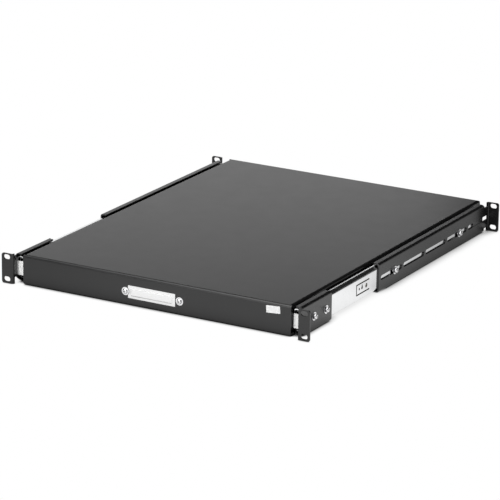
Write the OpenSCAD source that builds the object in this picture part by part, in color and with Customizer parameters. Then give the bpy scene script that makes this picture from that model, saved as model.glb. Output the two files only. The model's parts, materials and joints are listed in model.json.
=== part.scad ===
// Sliding rack shelf, one rack unit high, on two telescopic ball-bearing slides.
// Millimetres. +X is to the right, +Y runs back from the front ears, +Z is up.
// The origin is the middle of the front ears' hole pattern, on their front face.

/* [Rack fit] */
// Distance between the left and the right rack holes
rack_hole_span = 465.1; // [440:0.1:480]
// Distance between the two holes of one ear
rack_hole_rise = 31.75; // [30:0.05:34]
// Length of a rack slot
rack_slot_l = 10.5; // [8:0.1:12]
// Height of a rack slot
rack_slot_h = 7; // [5:0.1:8]
// Depth from the face of the front ears to the back of the rear ears
mount_depth = 573.6; // [500:0.1:640]

/* [Brackets] */
// Thickness of the bracket sheet
bracket_t = 2; // [1.2:0.1:2.2]
// Inner radius of the bracket bends
bracket_bend_r = 1.5; // [0.8:0.1:2]
// Height of the bracket channel
bracket_h = 41.7; // [40:0.1:42.8]
// Width of the channel flanges, over the web
bracket_flange_w = 9.5; // [6:0.1:11]
// Length of the front bracket, from the ear's face
front_bracket_l = 91.6; // [82:0.1:130]
// Height of the adjusting slots
adjust_slot_h = 6.7; // [4.6:0.1:7]
// Outer corner radius of the ears
ear_corner_r = 3; // [1:0.1:4]
// Height of the neck that carries an ear
neck_h = 30.6; // [24:0.1:34]

/* [Slides] */
// Thickness of the closed slide
slide_t = 12.7; // [12.3:0.1:14]
// Sheet thickness of the outer member
outer_t = 1.2; // [1:0.1:1.4]
// Sheet thickness of the middle and inner members
member_t = 1; // [0.8:0.1:1.1]
// Sheet thickness of the ball retainers
cage_t = 0.5; // [0.4:0.1:0.6]
// Diameter of a bearing ball
ball_d = 2.4; // [2:0.1:2.6]
// Distance between two balls in a row
ball_pitch = 29; // [20:1:40]

/* [Tray] */
// Height of the tray's front panel
tray_h = 41.6; // [39:0.1:42.4]
// Thickness of the tray sheet
tray_t = 1.2; // [1:0.1:1.6]
// Inner radius of the tray bends
tray_bend_r = 0.8; // [0.6:0.1:2]
// Height of the tray's side and rear flanges
tray_flange_h = 38; // [32:0.5:39]
// Width of the return at the foot of the front panel
tray_return_w = 12; // [8:0.5:20]

/* [Front plate] */
// Length of the plate
plate_l = 73.8; // [60:0.1:74]
// Height of the plate
plate_h = 17.8; // [14:0.1:24]
// Thickness of the plate sheet
plate_t = 0.8; // [0.5:0.1:1.2]
// Height of the plate's raised centre
plate_rise = 2; // [1.2:0.1:3]
// Distance between the two plate screws
plate_screw_span = 84.8; // [82:0.1:110]

/* [Fasteners] */
// Diameter of the bracket screw shanks
screw_d = 4; // [3:0.1:4.2]
// Diameter of the tray and plate screw shanks
tray_screw_d = 3.5; // [2.8:0.1:3.6]
// Diameter of the screw heads
head_d = 7.8; // [7:0.1:8]
// Height of the screw heads
head_h = 3; // [2.4:0.1:3.4]
// Diameter of the bracket washers
washer_d = 11.4; // [9:0.1:12]
// Diameter of the plate washers
plate_washer_d = 11.3; // [9:0.1:11.6]
// Thickness of the flat washers
washer_t = 1; // [0.5:0.1:1.2]

/* [Hidden] */

// Headings and turns
quarter_turn = 90;
half_turn = 180;

// Flats per bend, for every rolled or folded sheet
bend_steps = 6;
// Segments of a drilled hole and of a round piece
$fn = 48;
// Overrun of every cut past the face that it opens
cut = 1;

// Clearances
screw_fit = 0.05;
hole_fit = 0.25;
ball_fit = 0.1;
cage_gap = 0.3;
stop_gap = 0.3;

// Ears, necks and channels. The brackets sit a little low against the rack holes
ear_margin = 8.45;
ear_end = 5.525;
web_margin = 8.25;
bracket_z = -0.5;
front_setback = 10.2;
rear_setback = 14.5;
front_neck_z = 2.6;
rear_neck_z = -0.7;
front_corner_l = 8.3;
front_corner_h = 6.7;
rear_corner_l = 2.8;
rear_corner_h = 3.6;
flange_setback = 2.3;
rear_bracket_share = 0.603;

// Slide placing: its outer face lies on the inner face of the bracket's web
slide_y = 9.9;
slide_z = -1;
slide_rear_gap = 15.7;
slide_flange_gap = 1.05;

// Outer member outline
outer_corner_r = 5.5;
outer_lip_turn = 80;
front_cut_l = 9.6;
front_cut_h = 8.8;
outer_ball_share = 0.58;
inner_ball_share = 0.68;
lip_turn = 75;
groove_turn = 30;
groove_lip_turn = 45;
cage_corner_r = 3;
cage_lap = 1.1;

// Lanced tongue of the outer member
tongue_share = 0.2828;
tongue_l = 38.2;
tongue_h = 14.3;
tongue_cut = 2;
tongue_hole_d = [3.4, 4.6, 6.4];
tongue_hole_y = [9.1, 17.1, 29.4];
keyhole_w = 2.2;
keyhole_l = 4.4;

// Screw places: two in the front bracket and two in the slots of the rear one
front_screw_first = 32;
front_screw_margin = 16.6;
rear_screw_shares = [0.4827, 0.8506];
tray_screw_margin = 42;
tray_screw_count = 5;

// Adjusting slots of the rear bracket, as shares of its length, with a margin before them.
// Behind the last, short one a strip is lanced free along its foot, as far as the end opening
slot_margin = 5.7;
slot_bridge = 4.8;
slot_drop = 0.45;
slot_shares = [0.183, 0.183, 0.183, 0.183, 0.0477];
end_slot_l = 24.7;
end_slot_h = 6.4;
lance_h = 0.8;

// Middle and inner members and retainers, in the depth of the slide
middle_inset = 4.4;
inner_inset = 3.9;
buffer_l = 8;
buffer_inset = 2.5;
buffer_w = 8.2;
buffer_h = 22;
inner_tail = 8.5;
cage_share = 0.4964;
cage_y_share = 0.2308;
ball_margin = 3;

// White stop in the front end of the inner member: a plate, and a plug behind it
stop_t = 2;
stop_h = 19.8;
stop_side_gap = 0.3;
stop_plug_l = 9;
stop_plug_w = 3.4;

// Lock washers and nuts
lock_d = 6.8;
lock_t = 1;
lock_gap = 0.9;
nut_w = 7;
nut_h = 3.2;
recess_l = 3.6;
recess_w = 0.9;
recess_depth = 1.5;
head_round_share = 0.75;

// Tray and the pieces on its front panel
tray_y = 5.8;
tray_overhang = 0.8;
tray_top = 20.7;
relief = 0.6;
plate_x = -3.4;
plate_z = -2.2;
plate_screw_x = -2;
plate_border = 2;
plate_end_border = 3;
plate_slope = 2.6;
plate_notch_gap = 0.6;
label_l = 20.8;
label_h = 10;
label_t = 0.2;
label_margin = 26.6;
label_z = 11.4;
label_tilt = -4;

// Derived widths, heights and depths
rack_w = rack_hole_span + 2 * ear_margin;
body_w = rack_hole_span - 2 * web_margin;
ear_h = rack_hole_rise + 2 * ear_end;
slide_x = body_w / 2 - bracket_t;
tray_w = 2 * (slide_x - slide_t);
slide_h = bracket_h - 2 * bracket_t - 2 * slide_flange_gap;
slide_l = mount_depth - slide_y - slide_rear_gap;
tray_d = mount_depth - tray_y + tray_overhang;
rear_bracket_l = rear_bracket_share * mount_depth;
cage_l = cage_share * slide_l;
cage_y = cage_y_share * slide_l;
tongue_y = tongue_share * slide_l;

// Screw places along the slide, counted from its front end
front_screw_y = [front_screw_first, front_bracket_l - front_screw_margin - slide_y];
rear_screw_y = [for (share = rear_screw_shares) share * slide_l];
tray_screw_pitch = (slide_l - 2 * tray_screw_margin) / (tray_screw_count - 1);
tray_screw_y = [for (i = [0 : tray_screw_count - 1]) tray_screw_margin + i * tray_screw_pitch];

// Derived places in the slide's section
outer_web_c = outer_t / 2;
outer_flange_c = slide_h / 2 - outer_t / 2;
middle_web_c = outer_t + 2 * cage_gap + cage_t + member_t / 2;
inner_web_c = slide_t - member_t / 2;
outer_cage_c = outer_t + cage_gap + cage_t / 2;
inner_cage_c = middle_web_c + member_t / 2 + cage_gap + cage_t / 2;
race_r = ball_d / 2 + ball_fit;
outer_ball_u = outer_ball_share * slide_t;
outer_ball_v = slide_h / 2 - outer_t - race_r;
inner_ball_u = inner_ball_share * slide_t;
inner_ball_v = outer_ball_v - 2 * race_r - member_t;
groove_r = race_r + member_t / 2;
lip_r = race_r + outer_t / 2;
middle_corner_r = (outer_ball_u - middle_web_c - groove_r * sin(groove_turn)) / (1 + sin(groove_turn));
inner_corner_r = (inner_web_c - inner_ball_u - groove_r * sin(groove_turn)) / (1 + sin(groove_turn));
slide_end = slide_y + slide_l;
buffer_y = slide_end - buffer_inset - buffer_l;
middle_l = buffer_y - stop_gap - slide_y - middle_inset;
inner_l = middle_l - inner_tail;
rear_start = mount_depth - rear_bracket_l;

// A sheet outline is traced along its middle line. A leg is [length, 0] and a bend is
// [radius of the middle line, turn], with a left turn positive.
function bend_point(p, h, r, a) = p + sign(a) * r * [sin(h + a) - sin(h), cos(h) - cos(h + a)];

function trace(steps, p, h, i = 0) =
  i == len(steps) ? [[p, h]] :
  let (size = steps[i][0], turn = steps[i][1])
  turn == 0 ?
    concat([[p, h]], trace(steps, p + size * [cos(h), sin(h)], h, i + 1)) :
    concat(
      [for (k = [0 : bend_steps - 1]) [bend_point(p, h, size, turn * k / bend_steps), h + turn * k / bend_steps]],
      trace(steps, bend_point(p, h, size, turn), h + turn, i + 1)
    );

function beside(line, distance) = [for (q = line) q[0] + distance * [-sin(q[1]), cos(q[1])]];

function reversed(list) = [for (i = [len(list) - 1 : -1 : 0]) list[i]];

function strip(steps, t, p, h) =
  let (line = trace(steps, p, h))
  concat(beside(line, t / 2), reversed(beside(line, -t / 2)));

// Corner points of a rectangle with round corners, about its middle
function round_rect(w, h, r) = [
  for (q = [0 : 3], k = [0 : bend_steps])
    let (a = 90 * (q + k / bend_steps), sx = q == 0 || q == 3 ? 1 : -1, sy = q < 2 ? 1 : -1)
    [sx * (w / 2 - r) + r * cos(a), sy * (h / 2 - r) + r * sin(a)]
];

// Raises a flat outline, drawn with X to the right and Y up, along the depth of the shelf
module along_depth(y, l) {
  translate([0, y + l, 0])
    rotate([90, 0, 0])
      linear_extrude(height = l)
        children();
}

// Places a slide outline: u runs from the bracket towards the tray, v up from the slide's middle
module slide_section(y, l) {
  translate([slide_x, 0, slide_z])
    mirror([1, 0, 0])
      along_depth(slide_y + y, l)
        children();
}

module left_hand() {
  mirror([1, 0, 0])
    children();
}

// A round hole or piece along X, from x over the length l, at the place y and z
module round_x(x, y, z, d, l) {
  translate([x, y, z])
    rotate([0, 90, 0])
      cylinder(d = d, h = l);
}

module round_y(x, y, z, d, l) {
  translate([x, y + l, z])
    rotate([90, 0, 0])
      cylinder(d = d, h = l);
}

// A slot with round ends through a sheet that stands across X
module slot_x(x, y, z, l, h, depth) {
  translate([x, y + h / 2, z - h / 2])
    cube([depth, l - h, h]);
  for (end = [y + h / 2, y + l - h / 2])
    round_x(x, end, z, h, depth);
}

// A slot with round ends through a sheet that stands across Y, about its middle x and z
module slot_y(x, y, z, l, h, depth) {
  translate([x - (l - h) / 2, y, z - h / 2])
    cube([l - h, depth, h]);
  for (end = [x - (l - h) / 2, x + (l - h) / 2])
    round_y(end, y, z, h, depth);
}

// Brackets

// The channel's outline, with its web's outer face at half the body width
module channel_outline() {
  bend_c = bracket_bend_r + bracket_t / 2;
  flange = bracket_flange_w - bracket_t / 2 - bend_c;
  web = bracket_h - bracket_t - 2 * bend_c;
  start = [body_w / 2 - bracket_flange_w, bracket_z + bracket_h / 2 - bracket_t / 2];
  bend = [bend_c, -quarter_turn];
  polygon(strip([[flange, 0], bend, [web, 0], bend, [flange, 0]], bracket_t, start, 0));
}

// An ear and the first of its web, seen from above, with the ear's outer face at Y zero
module ear_outline(setback) {
  bend_c = bracket_bend_r + bracket_t / 2;
  web_x = body_w / 2 - bracket_t / 2;
  ear_leg = rack_w / 2 - web_x - bend_c;
  web_leg = setback - bracket_t / 2 - bend_c;
  steps = [[ear_leg, 0], [bend_c, -quarter_turn], [web_leg, 0]];
  polygon(strip(steps, bracket_t, [rack_w / 2, bracket_t / 2], half_turn));
}

// An ear with its two rack slots, and the narrower neck that joins it to the channel
module ear(neck_z, setback) {
  bend_end = bracket_bend_r + bracket_t + relief;
  difference() {
    translate([0, 0, bracket_z - ear_h / 2])
      linear_extrude(height = ear_h)
        ear_outline(setback);
    for (side = [-1, 1])
      slot_y(rack_hole_span / 2, -cut, side * rack_hole_rise / 2, rack_slot_l, rack_slot_h, bracket_t + 2 * cut);
    ear_corners();
    for (z = [neck_z + neck_h / 2, neck_z - neck_h / 2 - ear_h])
      translate([0, bend_end, z])
        cube([rack_w, setback, ear_h]);
  }
}

// What rounds the two outer corners of an ear
module ear_corners() {
  translate([0, 0, bracket_z])
    along_depth(-cut, bracket_t + 2 * cut)
      difference() {
        translate([rack_w / 2 - ear_corner_r, -ear_h / 2 - cut])
          square([ear_corner_r + cut, ear_h + 2 * cut]);
        translate([rack_w / 2 - ear_h / 2, 0])
          polygon(round_rect(ear_h, ear_h, ear_corner_r));
      }
}

// The wedge that takes a corner off the channel's web and flange, where the neck joins it
module corner_cut(side, setback, l, h) {
  edge = bracket_h / 2;
  translate([body_w / 2 - bracket_flange_w - cut, 0, bracket_z])
    rotate([90, 0, 90])
      linear_extrude(height = bracket_flange_w + 2 * cut)
        polygon([
          [setback - cut, side * (edge - h)],
          [setback, side * (edge - h)],
          [setback + l, side * edge],
          [setback + l, side * (edge + cut)],
          [setback - cut, side * (edge + cut)]
        ]);
}

module front_bracket() {
  flange_cut_w = bracket_flange_w - bracket_t - bracket_bend_r;
  color([0.16, 0.16, 0.17])
    difference() {
      union() {
        ear(front_neck_z, front_setback);
        along_depth(front_setback, front_bracket_l - front_setback)
          channel_outline();
      }
      corner_cut(-1, front_setback, front_corner_l, front_corner_h);
      // The flanges end a little before the web
      translate([body_w / 2 - bracket_flange_w - cut, front_bracket_l - flange_setback, bracket_z - bracket_h / 2 - cut])
        cube([flange_cut_w + cut, flange_setback + cut, bracket_h + 2 * cut]);
      for (y = front_screw_y)
        round_x(body_w / 2 - bracket_t - cut, slide_y + y, slide_z, screw_d + 2 * hole_fit, bracket_t + 2 * cut);
    }
}

module rear_bracket() {
  color([0.16, 0.16, 0.17])
    difference() {
      union() {
        rear_facing()
          ear(rear_neck_z, rear_setback);
        along_depth(rear_start, rear_bracket_l - rear_setback)
          channel_outline();
      }
      rear_facing()
        corner_cut(1, rear_setback, rear_corner_l, rear_corner_h);
      for (i = [0 : len(slot_shares) - 1])
        slot_x(
          body_w / 2 - bracket_t - cut, slot_start(i), slide_z - slot_drop,
          slot_l(i), adjust_slot_h, bracket_t + 2 * cut
        );
      end_opening();
      strip_lance();
    }
}

module rear_facing() {
  translate([0, mount_depth, 0])
    mirror([0, 1, 0])
      children();
}

function slot_l(i) = slot_shares[i] * rear_bracket_l;

// Where slot i starts
function slot_start(i) = i == 0 ? rear_start + slot_margin : slot_start(i - 1) + slot_l(i - 1) + slot_bridge;

// The square opening that runs up to the ear's bend
end_slot_y = mount_depth - bracket_t - bracket_bend_r - end_slot_l;

module end_opening() {
  translate([body_w / 2 - bracket_t - cut, end_slot_y, slide_z - end_slot_h / 2])
    cube([bracket_t + 2 * cut, end_slot_l, end_slot_h]);
}

// The thin cut along the foot of the strip between the last slot and the end opening
module strip_lance() {
  last = len(slot_shares) - 1;
  y = slot_start(last) + slot_l(last) - adjust_slot_h / 2;
  translate([body_w / 2 - bracket_t - cut, y, slide_z - end_slot_h / 2])
    cube([bracket_t + 2 * cut, end_slot_y - y + cut, lance_h]);
}

// Slides

// From the middle of the web up to the upper lip, for a channel mirrored about v zero
function outer_half() = [
  [outer_flange_c - (outer_corner_r - outer_t / 2), 0],
  [outer_corner_r - outer_t / 2, -quarter_turn],
  [outer_ball_u - outer_web_c - (outer_corner_r - outer_t / 2), 0],
  [lip_r, -outer_lip_turn]
];

function middle_half() = [
  [inner_ball_v + groove_r + groove_r * (1 - cos(groove_turn)) - middle_corner_r * cos(groove_turn), 0],
  [middle_corner_r, -quarter_turn - groove_turn],
  [groove_r, groove_turn],
  [inner_ball_u - outer_ball_u, 0],
  [groove_r, -lip_turn]
];

function inner_half() = [
  [inner_ball_v - groove_r + groove_r * (1 - cos(groove_turn)) - inner_corner_r * cos(groove_turn), 0],
  [inner_corner_r, quarter_turn + groove_turn],
  [groove_r, -groove_turn - groove_lip_turn]
];

function cage_half(web_c, ball_u, ball_v) = [
  [ball_v - cage_corner_r, 0],
  [cage_corner_r, -quarter_turn],
  [ball_u + cage_lap - web_c - cage_corner_r, 0]
];

// The whole outline: the traced upper half and its mirror image
module channel(half, t, web_c) {
  line = trace(half, [web_c, 0], quarter_turn);
  upper_left = beside(line, t / 2);
  upper_right = beside(line, -t / 2);
  polygon(concat(
    reversed(flipped(upper_left)), tail(upper_left),
    reversed(tail(upper_right)), flipped(upper_right)
  ));
}

function flipped(points) = [for (q = tail(points)) [q[0], -q[1]]];

function tail(points) = [for (i = [1 : len(points) - 1]) points[i]];

module outer_member() {
  web_x = slide_x - outer_t - cut;
  depth = outer_t + 2 * cut;
  color([0.85, 0.86, 0.87])
    difference() {
      slide_section(0, slide_l)
        channel(outer_half(), outer_t, outer_web_c);
      front_corner_cut();
      tongue_lance(web_x, depth);
      for (i = [0 : 2])
        round_x(web_x, slide_y + tongue_y + tongue_hole_y[i], slide_z, tongue_hole_d[i], depth);
      translate([web_x, slide_y + tongue_y + tongue_hole_y[1] - keyhole_w / 2, slide_z])
        cube([depth, keyhole_w, keyhole_l]);
      for (y = concat(front_screw_y, rear_screw_y))
        round_x(web_x, slide_y + y, slide_z, screw_d + 2 * screw_fit, depth);
    }
}

// The lower front corner of the outer member is cut off at a slant
module front_corner_cut() {
  low = slide_z - slide_h / 2;
  translate([slide_x - slide_t - cut, 0, 0])
    rotate([90, 0, 90])
      linear_extrude(height = slide_t + 2 * cut)
        polygon([
          [slide_y - cut, low + front_cut_h],
          [slide_y, low + front_cut_h],
          [slide_y + front_cut_l, low],
          [slide_y + front_cut_l, low - cut],
          [slide_y - cut, low - cut]
        ]);
}

// The cut on three sides of the tongue, open towards the rear
module tongue_lance(x, depth) {
  y = slide_y + tongue_y;
  for (side = [-1, 1])
    translate([x, y, slide_z + side * tongue_h / 2 - tongue_cut / 2])
      cube([depth, tongue_l, tongue_cut]);
  translate([x, y, slide_z - tongue_h / 2])
    cube([depth, tongue_cut, tongue_h]);
}

module middle_member() {
  color([0.78, 0.79, 0.8])
    slide_section(middle_inset, middle_l)
      channel(middle_half(), member_t, middle_web_c);
}

module inner_member() {
  color([0.85, 0.86, 0.87])
    difference() {
      slide_section(inner_inset, inner_l)
        channel(inner_half(), member_t, inner_web_c);
      for (y = tray_screw_y)
        round_x(
          slide_x - slide_t - cut, slide_y + y, slide_z,
          tray_screw_d + 2 * screw_fit, member_t + 2 * cut
        );
    }
}

// Rows of balls, above and below, along one retainer
ball_count = floor((cage_l - ball_d - 2 * ball_margin) / ball_pitch) + 1;
first_ball = (cage_l - (ball_count - 1) * ball_pitch) / 2;

module at_balls(u, v) {
  for (side = [-1, 1], i = [0 : ball_count - 1])
    translate([slide_x - u, slide_y + cage_y + first_ball + i * ball_pitch, slide_z + side * v])
      children();
}

module balls(u, v) {
  color([0.9, 0.9, 0.92])
    at_balls(u, v)
      sphere(d = ball_d);
}

module cage(web_c, u, v) {
  color([0.66, 0.66, 0.6])
    difference() {
      slide_section(cage_y, cage_l)
        channel(cage_half(web_c, u, v), cage_t, web_c);
      at_balls(u, v)
        cylinder(d = ball_d + 2 * ball_fit, h = cage_t + 2 * cut, center = true);
    }
}

// The buffer block fills the rear of the outer member, flat on its web
module slide_buffer() {
  color([0.12, 0.12, 0.12])
    slide_section(buffer_y - slide_y, buffer_l)
      translate([outer_t + buffer_w / 2, 0])
        polygon(round_rect(buffer_w, buffer_h, bracket_bend_r));
}

// The stop: a plate across the mouth of the slide and a plug inside the inner member
module front_stop() {
  web_face = slide_t - member_t;
  plate_w = web_face - outer_t - stop_side_gap;
  color([0.94, 0.94, 0.93]) {
    slide_section(inner_inset - stop_t, stop_t)
      translate([web_face - plate_w / 2, 0])
        polygon(round_rect(plate_w, stop_h, stop_side_gap));
    slide_section(inner_inset, stop_plug_l)
      translate([web_face - stop_plug_w / 2, 0])
        polygon(round_rect(stop_plug_w, 2 * (inner_ball_v - groove_r - member_t), stop_side_gap));
  }
}

// Fasteners

// A pan-head screw whose seat is at zero, head up, with a cross recess
module pan_screw(shank_d, shank_l) {
  difference() {
    union() {
      translate([0, 0, -shank_l])
        cylinder(d = shank_d, h = shank_l);
      rotate_extrude()
        polygon(concat([[0, 0], [head_d / 2, 0]], head_arc(), [[0, head_h]]));
    }
    for (turn = [0, 90])
      rotate([0, 0, turn])
        translate([-recess_l / 2, -recess_w / 2, head_h - recess_depth])
          cube([recess_l, recess_w, recess_depth + cut]);
  }
}

// The rounded rim of a pan head
function head_arc() = [
  for (k = [1 : bend_steps])
    let (a = 90 * k / bend_steps)
    [head_d / 2 - head_h * (1 - cos(a)) * head_round_share, head_h * sin(a)]
];

module flat_washer(d, shank_d) {
  difference() {
    cylinder(d = d, h = washer_t);
    translate([0, 0, -cut])
      cylinder(d = shank_d + 2 * hole_fit, h = washer_t + 2 * cut);
  }
}

module lock_washer() {
  difference() {
    cylinder(d = lock_d, h = lock_t);
    translate([0, 0, -cut])
      cylinder(d = screw_d + 2 * hole_fit, h = lock_t + 2 * cut);
    translate([0, -lock_gap / 2, -cut])
      cube([lock_d, lock_gap, lock_t + 2 * cut]);
  }
}

// Where the bracket screws stand, with +Z turned outwards
module at_bracket_screws(height) {
  for (y = concat(front_screw_y, rear_screw_y))
    translate([body_w / 2 + height, slide_y + y, slide_z])
      rotate([0, 90, 0])
        children();
}

module bracket_screws() {
  grip = washer_t + lock_t + bracket_t + outer_t;
  color([0.82, 0.82, 0.83])
    at_bracket_screws(washer_t + lock_t)
      pan_screw(screw_d, grip);
}

module flat_washers() {
  color([0.82, 0.82, 0.83])
    at_bracket_screws(0)
      flat_washer(washer_d, screw_d);
}

module lock_washers() {
  color([0.5, 0.5, 0.52])
    at_bracket_screws(washer_t)
      lock_washer();
}

module tray_screws() {
  color([0.82, 0.82, 0.83])
    for (y = tray_screw_y)
      translate([tray_w / 2 - tray_t, slide_y + y, slide_z])
        rotate([0, -90, 0])
          pan_screw(tray_screw_d, tray_t + member_t);
}

module at_plate_screws(y) {
  for (side = [-1, 1])
    translate([plate_screw_x + side * plate_screw_span / 2, y, plate_z])
      rotate([90, 0, 0])
        children();
}

module plate_screws() {
  color([0.82, 0.82, 0.83])
    at_plate_screws(tray_y - washer_t)
      pan_screw(tray_screw_d, washer_t + tray_t + nut_h);
}

module plate_washers() {
  color([0.82, 0.82, 0.83])
    at_plate_screws(tray_y)
      flat_washer(plate_washer_d, tray_screw_d);
}

module plate_nuts() {
  color([0.82, 0.82, 0.83])
    at_plate_screws(tray_y + tray_t + nut_h)
      difference() {
        cylinder(d = nut_w / cos(30), h = nut_h, $fn = 6);
        translate([0, 0, -cut])
          cylinder(d = tray_screw_d + 2 * screw_fit, h = nut_h + 2 * cut);
      }
}

// Tray

module tray_pan() {
  bend_c = tray_bend_r + tray_t / 2;
  bend_out = tray_bend_r + tray_t;
  rear_y = tray_y + tray_d;
  top_c = tray_top - tray_t / 2;
  side_leg = tray_flange_h - bend_out;
  front_leg = tray_h - 2 * bend_out;
  bend = [bend_c, -quarter_turn];
  color([0.17, 0.17, 0.18])
    difference() {
      union() {
        // Top with its two side flanges
        along_depth(tray_y + bend_out, tray_d - 2 * bend_out)
          polygon(strip(
            [[side_leg, 0], bend, [tray_w - 2 * bend_out, 0], bend, [side_leg, 0]],
            tray_t, [-tray_w / 2 + tray_t / 2, tray_top - tray_flange_h], quarter_turn
          ));
        // Front panel with the return at its foot
        across(-tray_w / 2, tray_w)
          polygon(strip(
            [[tray_return_w - bend_out, 0], bend, [front_leg, 0], bend, [relief, 0]],
            tray_t, [tray_y + tray_return_w, tray_top - tray_h + tray_t / 2], half_turn
          ));
        // Rear flange
        across(-tray_w / 2, tray_w)
          polygon(strip([[relief, 0], bend, [side_leg, 0]], tray_t, [rear_y - bend_out - relief, top_c], 0));
      }
      // Relief notches beside the front and the rear bend
      for (x = [-tray_w / 2 - cut, tray_w / 2 - bend_out], y = [tray_y + bend_out, rear_y - bend_out - relief])
        translate([x, y, tray_top - tray_h - cut])
          cube([bend_out + cut, relief, tray_h + 2 * cut]);
      for (x = [-tray_w / 2 - cut, tray_w / 2 - tray_t - cut], y = tray_screw_y)
        round_x(x, slide_y + y, slide_z, tray_screw_d + 2 * screw_fit, tray_t + 2 * cut);
      for (side = [-1, 1])
        round_y(
          plate_screw_x + side * plate_screw_span / 2, tray_y - cut, plate_z,
          tray_screw_d + 2 * screw_fit, tray_t + 2 * cut
        );
    }
}

// Raises an outline, drawn with the depth to the right and Z up, across the width
module across(x, l) {
  translate([x, 0, 0])
    rotate([90, 0, 90])
      linear_extrude(height = l)
        children();
}

// Front plate and label

// The plate's raised centre with its four sloped sides, drawn in by the inset
module raised_centre(inset) {
  l = plate_l - 2 * (plate_end_border + inset);
  h = plate_h - 2 * (plate_border + inset);
  face = tray_y - plate_rise + inset;
  foot = tray_y + inset;
  intersection() {
    across(plate_x - l / 2, l)
      polygon([
        [foot, plate_z - h / 2],
        [foot, plate_z + h / 2],
        [face, plate_z + h / 2 - plate_slope],
        [face, plate_z - h / 2 + plate_slope]
      ]);
    translate([0, 0, plate_z - h / 2])
      linear_extrude(height = h)
        polygon([
          [plate_x - l / 2, foot],
          [plate_x + l / 2, foot],
          [plate_x + l / 2 - plate_slope, face],
          [plate_x - l / 2 + plate_slope, face]
        ]);
  }
}

module front_plate() {
  notch_d = plate_washer_d + 2 * plate_notch_gap;
  color([0.93, 0.93, 0.93])
    difference() {
      union() {
        translate([plate_x, 0, plate_z])
          along_depth(tray_y - plate_t, plate_t)
            polygon(round_rect(plate_l, plate_h, plate_t));
        raised_centre(0);
      }
      raised_centre(plate_t);
      for (side = [-1, 1])
        round_y(
          plate_screw_x + side * plate_screw_span / 2, tray_y - plate_rise - cut, plate_z,
          notch_d, plate_rise + 2 * cut
        );
    }
}

module blank_label() {
  color([0.96, 0.96, 0.96])
    translate([tray_w / 2 - label_margin, 0, label_z])
      rotate([0, label_tilt, 0])
        along_depth(tray_y - label_t, label_t)
          polygon(round_rect(label_l, label_h, label_t));
}

left_hand() front_bracket();  // front_bracket_left
front_bracket();  // front_bracket_right
left_hand() rear_bracket();  // rear_bracket_left
rear_bracket();  // rear_bracket_right
left_hand() outer_member();  // outer_member_left
outer_member();  // outer_member_right
left_hand() middle_member();  // middle_member_left
middle_member();  // middle_member_right
left_hand() inner_member();  // inner_member_left
inner_member();  // inner_member_right
left_hand() cage(outer_cage_c, outer_ball_u, outer_ball_v);  // outer_cage_left
cage(outer_cage_c, outer_ball_u, outer_ball_v);  // outer_cage_right
left_hand() cage(inner_cage_c, inner_ball_u, inner_ball_v);  // inner_cage_left
cage(inner_cage_c, inner_ball_u, inner_ball_v);  // inner_cage_right
left_hand() balls(outer_ball_u, outer_ball_v);  // outer_balls_left
balls(outer_ball_u, outer_ball_v);  // outer_balls_right
left_hand() balls(inner_ball_u, inner_ball_v);  // inner_balls_left
balls(inner_ball_u, inner_ball_v);  // inner_balls_right
left_hand() slide_buffer();  // slide_buffer_left
slide_buffer();  // slide_buffer_right
left_hand() front_stop();  // front_stop_left
front_stop();  // front_stop_right
left_hand() bracket_screws();  // bracket_screws_left
bracket_screws();  // bracket_screws_right
left_hand() flat_washers();  // flat_washers_left
flat_washers();  // flat_washers_right
left_hand() lock_washers();  // lock_washers_left
lock_washers();  // lock_washers_right
tray_pan();
left_hand() tray_screws();  // tray_screws_left
tray_screws();  // tray_screws_right
front_plate();
plate_screws();
plate_washers();
plate_nuts();
blank_label();
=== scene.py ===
import json
import math

import bmesh
import bpy
from mathutils import Matrix, Vector


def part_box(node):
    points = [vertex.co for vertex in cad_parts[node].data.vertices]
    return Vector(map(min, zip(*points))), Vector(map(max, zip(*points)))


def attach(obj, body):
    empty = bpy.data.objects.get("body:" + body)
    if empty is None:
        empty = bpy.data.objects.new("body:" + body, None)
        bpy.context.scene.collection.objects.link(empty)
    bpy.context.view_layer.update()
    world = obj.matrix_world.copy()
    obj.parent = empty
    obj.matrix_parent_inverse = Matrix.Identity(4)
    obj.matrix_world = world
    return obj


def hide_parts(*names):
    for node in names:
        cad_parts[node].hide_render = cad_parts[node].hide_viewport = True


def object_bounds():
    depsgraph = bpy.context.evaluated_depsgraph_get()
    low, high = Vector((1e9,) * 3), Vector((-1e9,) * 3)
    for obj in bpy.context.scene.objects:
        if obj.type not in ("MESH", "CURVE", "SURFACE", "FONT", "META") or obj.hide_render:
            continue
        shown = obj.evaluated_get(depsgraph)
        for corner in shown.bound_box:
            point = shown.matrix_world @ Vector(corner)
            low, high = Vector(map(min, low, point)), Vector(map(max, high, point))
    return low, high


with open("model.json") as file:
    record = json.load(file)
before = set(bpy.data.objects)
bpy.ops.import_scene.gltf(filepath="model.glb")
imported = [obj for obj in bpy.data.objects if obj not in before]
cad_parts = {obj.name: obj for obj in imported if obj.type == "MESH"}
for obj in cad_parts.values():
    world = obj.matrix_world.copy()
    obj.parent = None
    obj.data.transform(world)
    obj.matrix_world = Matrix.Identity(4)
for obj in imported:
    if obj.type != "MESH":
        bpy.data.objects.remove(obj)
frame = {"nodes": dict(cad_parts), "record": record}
cad_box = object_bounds()

MM = 0.001
SIDES = ("left", "right")

# The camera that a fit to the rack holes and the tray's corners gave
CAMERA_AZIMUTH = math.radians(29.46)
CAMERA_ELEVATION = math.radians(17.53)
CAMERA_ROLL = math.radians(0.68)
CAMERA_DISTANCE = 4.4053
CAMERA_TARGET = Vector((0.01124, 0.24613, 0.0))
CAMERA_REACH = 100.0
SENSOR_WIDTH = 36.0
LENS = 226.39

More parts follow.
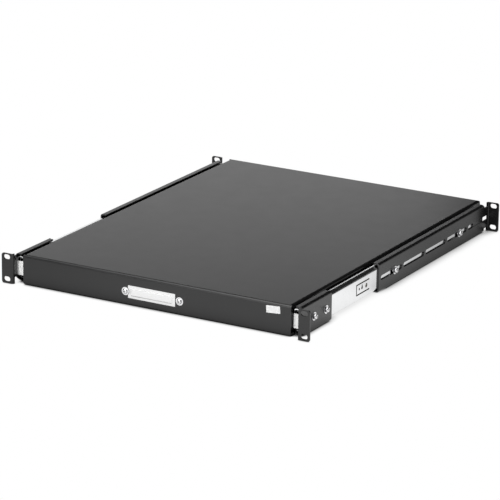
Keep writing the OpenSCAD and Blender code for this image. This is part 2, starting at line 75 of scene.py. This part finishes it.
# The tray's folds in the solid, and how much larger their outer radius shows in the photograph
FOLD_RADIUS = 2.0 * MM
FOLD_GROWTH = 2.0 * MM
FOLD_NOTCH = 0.6 * MM
TRAY_SHEET = 1.2 * MM
NEAR = 0.01 * MM
SHARP_ANGLE = math.radians(30)

# The black paint of the tray and of the brackets
PAINT_IOR = 1.62

# Painted shade: the colour painted at the bottom of holes and cuts, and how near a wall has to be to paint
# the metal darker
SHADE_PAINT_METAL = (0.01, 0.01, 0.01)
SHADE_PAINT_SCREW = (0.02, 0.02, 0.02)
SLIDE_SHADE_REACH = 12 * MM
SCREW_SHADE_REACH = 1.5 * MM
SHADE_RAYS = 8

# The floor lies under the lowest point of the brackets
FLOOR_RADIUS = 14.0
FLOOR_SIDES = 96
FLOOR_DROP = 0.2 * MM
FLOOR_COLOUR = (0.8, 0.8, 0.8)
FLOOR_RAYS = 16

# How far the shelf darkens the floor, at its front and behind, where the one grows into the other,
# and how dark the floor gets: once as seen directly, and once as mirrored in the shelf
SEEN_SHADOW = {"front": 0.012, "rear": 0.03, "grows": (0.05, 0.35), "level": 0.04, "fade": (0.15, 0.85)}
MIRRORED_SHADOW = {"front": 0.03, "rear": 0.14, "grows": (-0.08, 0.02), "level": 0.0, "fade": (0.1, 1.0)}

# The seen floor is black where the shelf covers it from all sides
COVER_REACH = 0.15
COVERED, OPEN = 0.10, 0.30

# The stretch beside the bare zinc, which throws light back on the floor
BOUNCE_FROM = (0.085, 0.115)
BOUNCE_TO = (0.225, 0.255)
BOUNCE_LEVEL = 0.8

# The mirrored floor is brightest off the shelf's front right corner. It falls off with the distance
# from there, and more slowly across the shelf than along it
BRIGHT_PLACE = (0.35, -0.08, 0.0)
BRIGHT_SQUEEZE = (0.7, 1.0, 1.0)
BRIGHT_FROM, BRIGHT_TO = 0.28, 0.57
FAR_LEVEL = 0.6

# The room's brightness at some elevations, in degrees, and the white that the camera sees
ROOM = ((0.0, 1.0), (2.0, 0.6), (5.0, 0.015), (42.0, 0.015), (55.0, 0.9))
WHITE = (1.0, 1.0, 1.0)


class Graph:
    """A node tree that is filled with short calls."""

    def __init__(self, owner):
        owner.use_nodes = True
        self.tree = owner.node_tree
        self.tree.nodes.clear()

    def add(self, kind, **values):
        node = self.tree.nodes.new(kind)
        for key, value in values.items():
            setattr(node, key, value)
        return node

    def plug(self, socket, value):
        """Gives a socket a constant or another node's output."""
        if isinstance(value, bpy.types.NodeSocket):
            self.tree.links.new(value, socket)
        else:
            socket.default_value = value

    def feed(self, node, **values):
        """Plugs values into the named inputs of a node."""
        for key, value in values.items():
            self.plug(node.inputs[key.replace("_", " ")], value)
        return node

    def sum(self, operation, *values):
        node = self.add("ShaderNodeMath", operation=operation)
        for socket, value in zip(node.inputs, values):
            self.plug(socket, value)
        return node.outputs[0]

    def invert(self, value):
        return self.sum("SUBTRACT", 1.0, value)

    def spread(self, value, low, high, start=0.3, end=0.7, curve="LINEAR"):
        """Maps the stretch from start to end of a value to the range low to high."""
        ramp = self.add("ShaderNodeMapRange", interpolation_type=curve)
        self.feed(ramp, Value=value, From_Min=start, From_Max=end, To_Min=low, To_Max=high)
        return ramp.outputs["Result"]

    def nearness(self, reach, rays):
        """1 where nothing is within reach, and less where other surfaces close the place in."""
        node = self.feed(self.add("ShaderNodeAmbientOcclusion", samples=rays), Distance=reach)
        return node.outputs["AO"]

    def mix(self, factor, first, second):
        """A mix of two colours."""
        node = self.add("ShaderNodeMix", data_type="RGBA")
        self.feed(node, Factor=factor)
        colours = [socket for socket in node.inputs if socket.type == "RGBA"]
        for socket, value in zip(colours, (first, second)):
            self.plug(socket, (*value, 1.0) if isinstance(value, tuple) else value)
        return next(socket for socket in node.outputs if socket.type == "RGBA")

    def finish(self, kind, surface):
        output = self.add(kind)
        self.tree.links.new(surface, output.inputs["Surface"])


class Finish(Graph):
    """A surface material whose look is set by noises in the object's own space."""

    def __init__(self, name):
        self.material = bpy.data.materials.new(name)
        super().__init__(self.material)
        self.principled = self.add("ShaderNodeBsdfPrincipled")
        self.finish("ShaderNodeOutputMaterial", self.principled.outputs["BSDF"])
        self.place = self.add("ShaderNodeTexCoord").outputs["Object"]

    def set(self, **values):
        self.feed(self.principled, **values)

    def noise(self, size, detail=3.0, stretch=(1.0, 1.0, 1.0)):
        """Noise whose grain is about size metres wide, longer along the axes that stretch names."""
        mapping = self.add("ShaderNodeMapping")
        self.feed(mapping, Vector=self.place, Scale=[1.0 / (size * s) for s in stretch])
        noise = self.add("ShaderNodeTexNoise")
        self.feed(noise, Vector=mapping.outputs[0], Scale=1.0, Detail=detail)
        return noise.outputs[0]

    def tint(self, noise, dark, light):
        self.set(Base_Color=self.mix(self.spread(noise, 0.0, 1.0), dark, light))

    def painted_recess_shade(self, noise, dark, light, deep, reach, closed, opened):
        """A tint with painted shade, which turns to the deep colour in holes and cuts no wider than about
        twice the reach.
        """
        # Painted shade: where other surfaces are near, the base colour is mixed towards the deep colour
        shown = self.spread(self.nearness(reach, SHADE_RAYS), 0.0, 1.0, closed, opened)
        face = self.mix(self.spread(noise, 0.0, 1.0), dark, light)
        self.set(Base_Color=self.mix(shown, deep, face))

    def rough(self, noise, low, high):
        self.set(Roughness=self.spread(noise, low, high))

    def bump(self, noise, height):
        node = self.feed(self.add("ShaderNodeBump"), Distance=height, Strength=1.0, Height=noise)
        self.set(Normal=node.outputs["Normal"])


def black_paint():
    """Smooth satin black powder coat with a fine orange peel."""
    s = Finish("black_paint")
    peel = s.noise(size=1.4 * MM, detail=2.0)
    cloud = s.noise(size=25 * MM, detail=4.0)
    s.tint(cloud, dark=(0.0022, 0.0022, 0.0024), light=(0.0034, 0.0034, 0.0036))
    s.rough(cloud, low=0.285, high=0.305)
    s.bump(peel, height=0.010 * MM)
    s.set(IOR=PAINT_IOR)
    return s.material


def bracket_paint():
    """The same black on the brackets, with a coarser grain."""
    s = Finish("bracket_paint")
    grain = s.noise(size=2.0 * MM)
    s.tint(grain, dark=(0.0024, 0.0024, 0.0026), light=(0.0042, 0.0042, 0.0044))
    s.rough(grain, low=0.26, high=0.34)
    s.bump(grain, height=0.05 * MM)
    s.set(IOR=PAINT_IOR)
    return s.material


def rolled_zinc(name, closed, opened):
    """Bright zinc-plated steel, rolled smooth along the slide, with painted shade where it is closed in."""
    s = Finish(name)
    grain = s.noise(size=0.5 * MM, stretch=(1.0, 60.0, 1.0))
    cloud = s.noise(size=12 * MM, detail=4.0)
    # Painted shade: the base colour turns dark where walls close the zinc in
    s.painted_recess_shade(
        cloud, dark=(0.87, 0.875, 0.88), light=(0.91, 0.915, 0.92),
        deep=SHADE_PAINT_METAL, reach=SLIDE_SHADE_REACH, closed=closed, opened=opened,
    )
    s.rough(grain, low=0.11, high=0.16)
    s.bump(grain, height=0.001 * MM)
    s.set(Metallic=1.0)
    return s.material


def zinc_sheet():
    """The outer members: painted shade in the narrow cuts, and bright through the brackets' slots."""
    return rolled_zinc("zinc_sheet", closed=0.35, opened=0.50)


def covered_zinc():
    """The members inside the outer ones: painted shade through the holes until they are drawn out."""
    return rolled_zinc("covered_zinc", closed=0.35, opened=0.90)


def retainer_steel():
    """Thin pressed steel with a warm passivated finish, and painted shade where it is closed in."""
    s = Finish("retainer_steel")
    cloud = s.noise(size=6 * MM, detail=4.0)
    # Painted shade in the narrow places between the slide members
    s.painted_recess_shade(
        cloud, dark=(0.52, 0.51, 0.46), light=(0.66, 0.65, 0.60),
        deep=SHADE_PAINT_METAL, reach=SLIDE_SHADE_REACH, closed=0.15, opened=0.55,
    )
    s.rough(cloud, low=0.28, high=0.42)
    s.bump(s.noise(size=0.8 * MM), height=0.006 * MM)
    s.set(Metallic=1.0)
    return s.material


def white_nylon():
    """Moulded white nylon with a faint flow texture."""
    s = Finish("white_nylon")
    flow = s.noise(size=1.2 * MM)
    s.tint(flow, dark=(0.94, 0.94, 0.93), light=(0.98, 0.98, 0.97))
    s.rough(flow, low=0.35, high=0.5)
    s.bump(flow, height=0.01 * MM)
    return s.material


def ball_steel():
    """Ground and polished bearing steel with a film of grease."""
    s = Finish("ball_steel")
    cloud = s.noise(size=1.5 * MM)
    s.tint(cloud, dark=(0.74, 0.74, 0.75), light=(0.84, 0.84, 0.85))
    s.rough(cloud, low=0.06, high=0.16)
    s.set(Metallic=1.0)
    return s.material


def black_plastic():
    """Moulded black plastic with a fine spark texture."""
    s = Finish("black_plastic")
    spark = s.noise(size=0.5 * MM, detail=4.0)
    s.tint(spark, dark=(0.012, 0.012, 0.012), light=(0.022, 0.022, 0.023))
    s.rough(spark, low=0.45, high=0.6)
    s.bump(spark, height=0.02 * MM)
    return s.material


def plated_hardware():
    """Bright nickel-plated screws and washers with faint turning marks, and painted shade in the drive
    recesses and where the parts close in.
    """
    s = Finish("plated_hardware")
    grain = s.noise(size=0.4 * MM)
    cloud = s.noise(size=3 * MM)
    # Painted shade: the colour goes dark in the drive recesses and close beside the head
    s.painted_recess_shade(
        cloud, dark=(0.86, 0.86, 0.87), light=(0.95, 0.95, 0.96),
        deep=SHADE_PAINT_SCREW, reach=SCREW_SHADE_REACH, closed=0.35, opened=0.70,
    )
    s.rough(grain, low=0.18, high=0.30)
    s.bump(grain, height=0.004 * MM)
    s.set(Metallic=1.0)
    return s.material


def dark_hardware():
    """Tempered spring steel, darker and duller than the screws."""
    s = Finish("dark_hardware")
    grain = s.noise(size=0.5 * MM)
    s.tint(grain, dark=(0.10, 0.10, 0.11), light=(0.20, 0.20, 0.21))
    s.rough(grain, low=0.30, high=0.45)
    s.bump(grain, height=0.006 * MM)
    s.set(Metallic=1.0)
    return s.material


def bright_plate():
    """Satin nickel-plated pressing."""
    s = Finish("bright_plate")
    grain = s.noise(size=0.35 * MM, stretch=(30.0, 1.0, 1.0))
    s.tint(grain, dark=(0.93, 0.93, 0.93), light=(0.97, 0.97, 0.97))
    s.rough(grain, low=0.30, high=0.42)
    s.bump(grain, height=0.002 * MM)
    s.set(Metallic=1.0)
    return s.material


def label_film():
    """Bare white label film with a slight gloss and a soft unevenness from the glue."""
    s = Finish("label_film")
    cloud = s.noise(size=5 * MM)
    s.tint(cloud, dark=(0.85, 0.85, 0.85), light=(0.90, 0.90, 0.90))
    s.rough(cloud, low=0.3, high=0.42)
    s.bump(cloud, height=0.03 * MM)
    return s.material


MATERIALS = {
    make.__name__: make()
    for make in (
        black_paint, bracket_paint, zinc_sheet, covered_zinc, retainer_steel, ball_steel,
        black_plastic, white_nylon, plated_hardware, dark_hardware, bright_plate, label_film,
    )
}

# The nodes that wear a variant of their slot's material
VARIANTS = {
    name + side: finish
    for name, finish in (
        ("front_bracket_", "bracket_paint"), ("rear_bracket_", "bracket_paint"),
        ("middle_member_", "covered_zinc"), ("inner_member_", "covered_zinc"),
    )
    for side in SIDES
}


def dress_nodes():
    """Gives every CAD node the material of its slot in the record, or its own variant of it."""
    for part in frame["record"]["subparts"]:
        node = frame["nodes"][part["node"]]
        finish = VARIANTS.get(part["node"], part["material_slot"])
        node.data.materials.clear()
        node.data.materials.append(MATERIALS[finish])


def grow_fold(first, second):
    """Moves a point of a fold, given by its depths under the two outer faces, to the larger fold."""
    a, b = FOLD_RADIUS - first, FOLD_RADIUS - second
    out = 1.0 + FOLD_GROWTH / math.hypot(a, b)
    centre = FOLD_RADIUS + FOLD_GROWTH
    return centre - a * out, centre - b * out


def behind_fold(drop):
    """How deep the inner face of the larger fold lies under one outer face, at a depth under the other."""
    centre = FOLD_RADIUS + FOLD_GROWTH
    inner = centre - TRAY_SHEET
    rise = min(max(centre - drop, 0.0), inner)
    return centre - math.sqrt(inner * inner - rise * rise)


def rounded_place(place, low, high):
    """Where a vertex of the tray lies once the folds round its top are larger."""
    x, y, z = place
    in_fold = FOLD_RADIUS + NEAR
    ahead = y - low[1] < high[1] - y
    inset = y - low[1] if ahead else high[1] - y
    inward, drop = high[0] - abs(x), high[2] - z
    if inset < in_fold and drop < in_fold:
        inset, drop = grow_fold(inset, drop)
    elif inset > FOLD_RADIUS + FOLD_NOTCH - NEAR:
        beside_notch = inset < in_fold + FOLD_NOTCH and drop < in_fold
        if inward < in_fold and drop < in_fold:
            inward, drop = grow_fold(inward, drop)
        if beside_notch:
            inset = max(inset, behind_fold(drop) + FOLD_NOTCH)
    y = low[1] + inset if ahead else high[1] - inset
    return math.copysign(high[0] - inward, x), y, high[2] - drop


def rounded_mesh():
    """The tray's mesh with the larger folds, shaded smooth between its sharp edges."""
    low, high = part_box("tray_pan")
    form = bmesh.new()
    form.from_mesh(frame["nodes"]["tray_pan"].data)
    bmesh.ops.remove_doubles(form, verts=form.verts, dist=NEAR)
    for vert in form.verts:
        vert.co = rounded_place(vert.co, low, high)
    mesh = bpy.data.meshes.new("rounded_tray")
    form.to_mesh(mesh)
    form.free()
    stored = mesh.attributes.get("custom_normal")
    if stored:
        mesh.attributes.remove(stored)
    mesh.shade_smooth()
    mesh.set_sharp_from_angle(angle=SHARP_ANGLE)
    mesh.materials.clear()
    mesh.materials.append(MATERIALS["black_paint"])
    return mesh


def round_tray():
    """The tray with rounder folds round its top, in place of the tighter folds of the solid."""
    tray = bpy.data.objects.new("rounded_tray", rounded_mesh())
    bpy.context.scene.collection.objects.link(tray)
    smooth = tray.modifiers.new("normals", "WEIGHTED_NORMAL")
    smooth.keep_sharp = True
    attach(tray, "tray")
    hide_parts("tray_pan")


def uncovered(g):
    """1 on the open floor and 0 under the shelf."""
    return g.spread(g.nearness(COVER_REACH, FLOOR_RAYS), 0.0, 1.0, COVERED, OPEN)


def zinc_bounce(g, along):
    """How much of the shadow the light off the bare zinc takes away."""
    begun = g.spread(along, 0.0, BOUNCE_LEVEL, *BOUNCE_FROM)
    ended = g.spread(along, 1.0, 0.0, *BOUNCE_TO)
    return g.sum("MULTIPLY", begun, ended)


def bright_falloff(g, place):
    """1 about the bright place of the mirrored floor, and the far level away from it."""
    centred = g.feed(
        g.add("ShaderNodeMapping"),
        Vector=place,
        Scale=BRIGHT_SQUEEZE,
        Location=[-c * s for c, s in zip(BRIGHT_PLACE, BRIGHT_SQUEEZE)],
    )
    away = g.feed(g.add("ShaderNodeVectorMath", operation="LENGTH"), Vector=centred.outputs[0])
    return g.spread(away.outputs["Value"], 1.0, FAR_LEVEL, BRIGHT_FROM, BRIGHT_TO)


def floor_glow(g, along, bounce, cover, front, rear, grows, level, fade):
    """White, darker where the shelf closes the floor in, and lighter again where the zinc lights it."""
    reach = g.spread(along, front, rear, *grows)
    light = g.spread(g.nearness(reach, FLOOR_RAYS), level, 1.0, *fade, "SMOOTHSTEP")
    shade = g.invert(g.sum("MULTIPLY", light, cover))
    return g.invert(g.sum("MULTIPLY", shade, g.invert(bounce)))


def floor_material():
    """Paper for the light, and a glow of its own for the camera and for the shelf's reflections."""
    material = bpy.data.materials.new("floor")
    g = Graph(material)
    place = g.add("ShaderNodeTexCoord").outputs["Object"]
    along = g.feed(g.add("ShaderNodeSeparateXYZ"), Vector=place).outputs["Y"]
    bounce = zinc_bounce(g, along)
    seen = floor_glow(g, along, bounce, uncovered(g), **SEEN_SHADOW)
    open_mirrored = floor_glow(g, along, bounce, 1.0, **MIRRORED_SHADOW)
    mirrored = g.sum("MULTIPLY", bright_falloff(g, place), open_mirrored)
    path = g.add("ShaderNodeLightPath")
    surface = g.feed(g.add("ShaderNodeBsdfDiffuse"), Color=(*FLOOR_COLOUR, 1.0)).outputs[0]
    for ray, strength in (("Is Glossy Ray", mirrored), ("Is Camera Ray", seen)):
        glow = g.feed(g.add("ShaderNodeEmission"), Strength=strength)
        choice = g.feed(g.add("ShaderNodeMixShader"), Fac=path.outputs[ray])
        g.tree.links.new(surface, choice.inputs[1])
        g.tree.links.new(glow.outputs[0], choice.inputs[2])
        surface = choice.outputs[0]
    g.finish("ShaderNodeOutputMaterial", surface)
    return material


def make_floor():
    """A pale floor that shows white, and keeps the shadow close under the shelf."""
    mesh = bpy.data.meshes.new("floor")
    form = bmesh.new()
    bmesh.ops.create_circle(form, cap_ends=True, segments=FLOOR_SIDES, radius=FLOOR_RADIUS)
    form.to_mesh(mesh)
    form.free()
    mesh.materials.append(floor_material())
    floor = bpy.data.objects.new("floor", mesh)
    bpy.context.scene.collection.objects.link(floor)
    floor.location = (0.0, 0.0, cad_box[0][2] - FLOOR_DROP)


def make_world():
    """A studio: white round the horizon, dark walls above it, and a pale ceiling. The camera sees white."""
    world = bpy.data.worlds.new("studio")
    bpy.context.scene.world = world
    g = Graph(world)
    way = g.add("ShaderNodeTexCoord").outputs["Generated"]
    height = g.feed(g.add("ShaderNodeSeparateXYZ"), Vector=way).outputs["Z"]
    ramp = g.feed(g.add("ShaderNodeValToRGB"), Fac=height)
    stops = ramp.color_ramp.elements
    while len(stops) < len(ROOM):
        stops.new(position=0.5)
    for stop, (elevation, level) in zip(stops, ROOM):
        stop.position = math.sin(math.radians(elevation))
        stop.color = (level, level, level, 1.0)
    seen = g.add("ShaderNodeLightPath").outputs["Is Camera Ray"]
    colour = g.mix(seen, ramp.outputs["Color"], WHITE)
    back = g.feed(g.add("ShaderNodeBackground"), Color=colour)
    g.finish("ShaderNodeOutputWorld", back.outputs[0])


def bearing(azimuth, elevation, distance):
    """A place as seen from the middle of the shelf. Azimuth 0 is behind it and 90 is on its right."""
    turn, lift = math.radians(azimuth), math.radians(elevation)
    level = math.cos(lift)
    way = Vector((math.sin(turn) * level, math.cos(turn) * level, math.sin(lift)))
    return CAMERA_TARGET + distance * way


# Each soft box: its place, its size, its radiance, and the place that it faces
LAMPS = {
    "rear_left_box": (bearing(-38.5, 11.2, 3.0), (2.0, 1.0), 0.93, CAMERA_TARGET),
    "front_box": (Vector((0.1, -2.4, 1.2)), (3.3, 2.0), 2.1, CAMERA_TARGET),
    "top_box": (Vector((-0.35, -0.6, 2.2)), (1.9, 2.0), 2.0, Vector((-0.35, -0.6, 0.0))),
}


def make_lamp(name, place, size, radiance, target):
    """A soft box that faces the target."""
    light = bpy.data.lights.new(name, "AREA")
    light.shape = "RECTANGLE"
    light.size, light.size_y = size
    light.energy = radiance * math.pi * size[0] * size[1]
    lamp = bpy.data.objects.new(name, light)
    bpy.context.scene.collection.objects.link(lamp)
    lamp.location = place
    lamp.rotation_euler = (target - place).to_track_quat("-Z", "Y").to_euler()


def make_camera():
    """The camera of the photograph, turned about its target."""
    camera = bpy.data.cameras.new("camera")
    camera.sensor_width = SENSOR_WIDTH
    camera.lens = LENS
    camera.clip_end = CAMERA_REACH
    holder = bpy.data.objects.new("camera", camera)
    bpy.context.scene.collection.objects.link(holder)
    turn = (
        Matrix.Rotation(CAMERA_AZIMUTH, 4, "Z")
        @ Matrix.Rotation(math.pi / 2 - CAMERA_ELEVATION, 4, "X")
        @ Matrix.Rotation(CAMERA_ROLL, 4, "Z")
    )
    back = Matrix.Translation((0, 0, CAMERA_DISTANCE))
    holder.matrix_world = Matrix.Translation(CAMERA_TARGET) @ turn @ back
    bpy.context.scene.camera = holder


dress_nodes()
round_tray()
make_floor()
make_world()
for lamp_name, lamp in LAMPS.items():
    make_lamp(lamp_name, *lamp)
make_camera()
bpy.context.scene.view_settings.view_transform = "Standard"
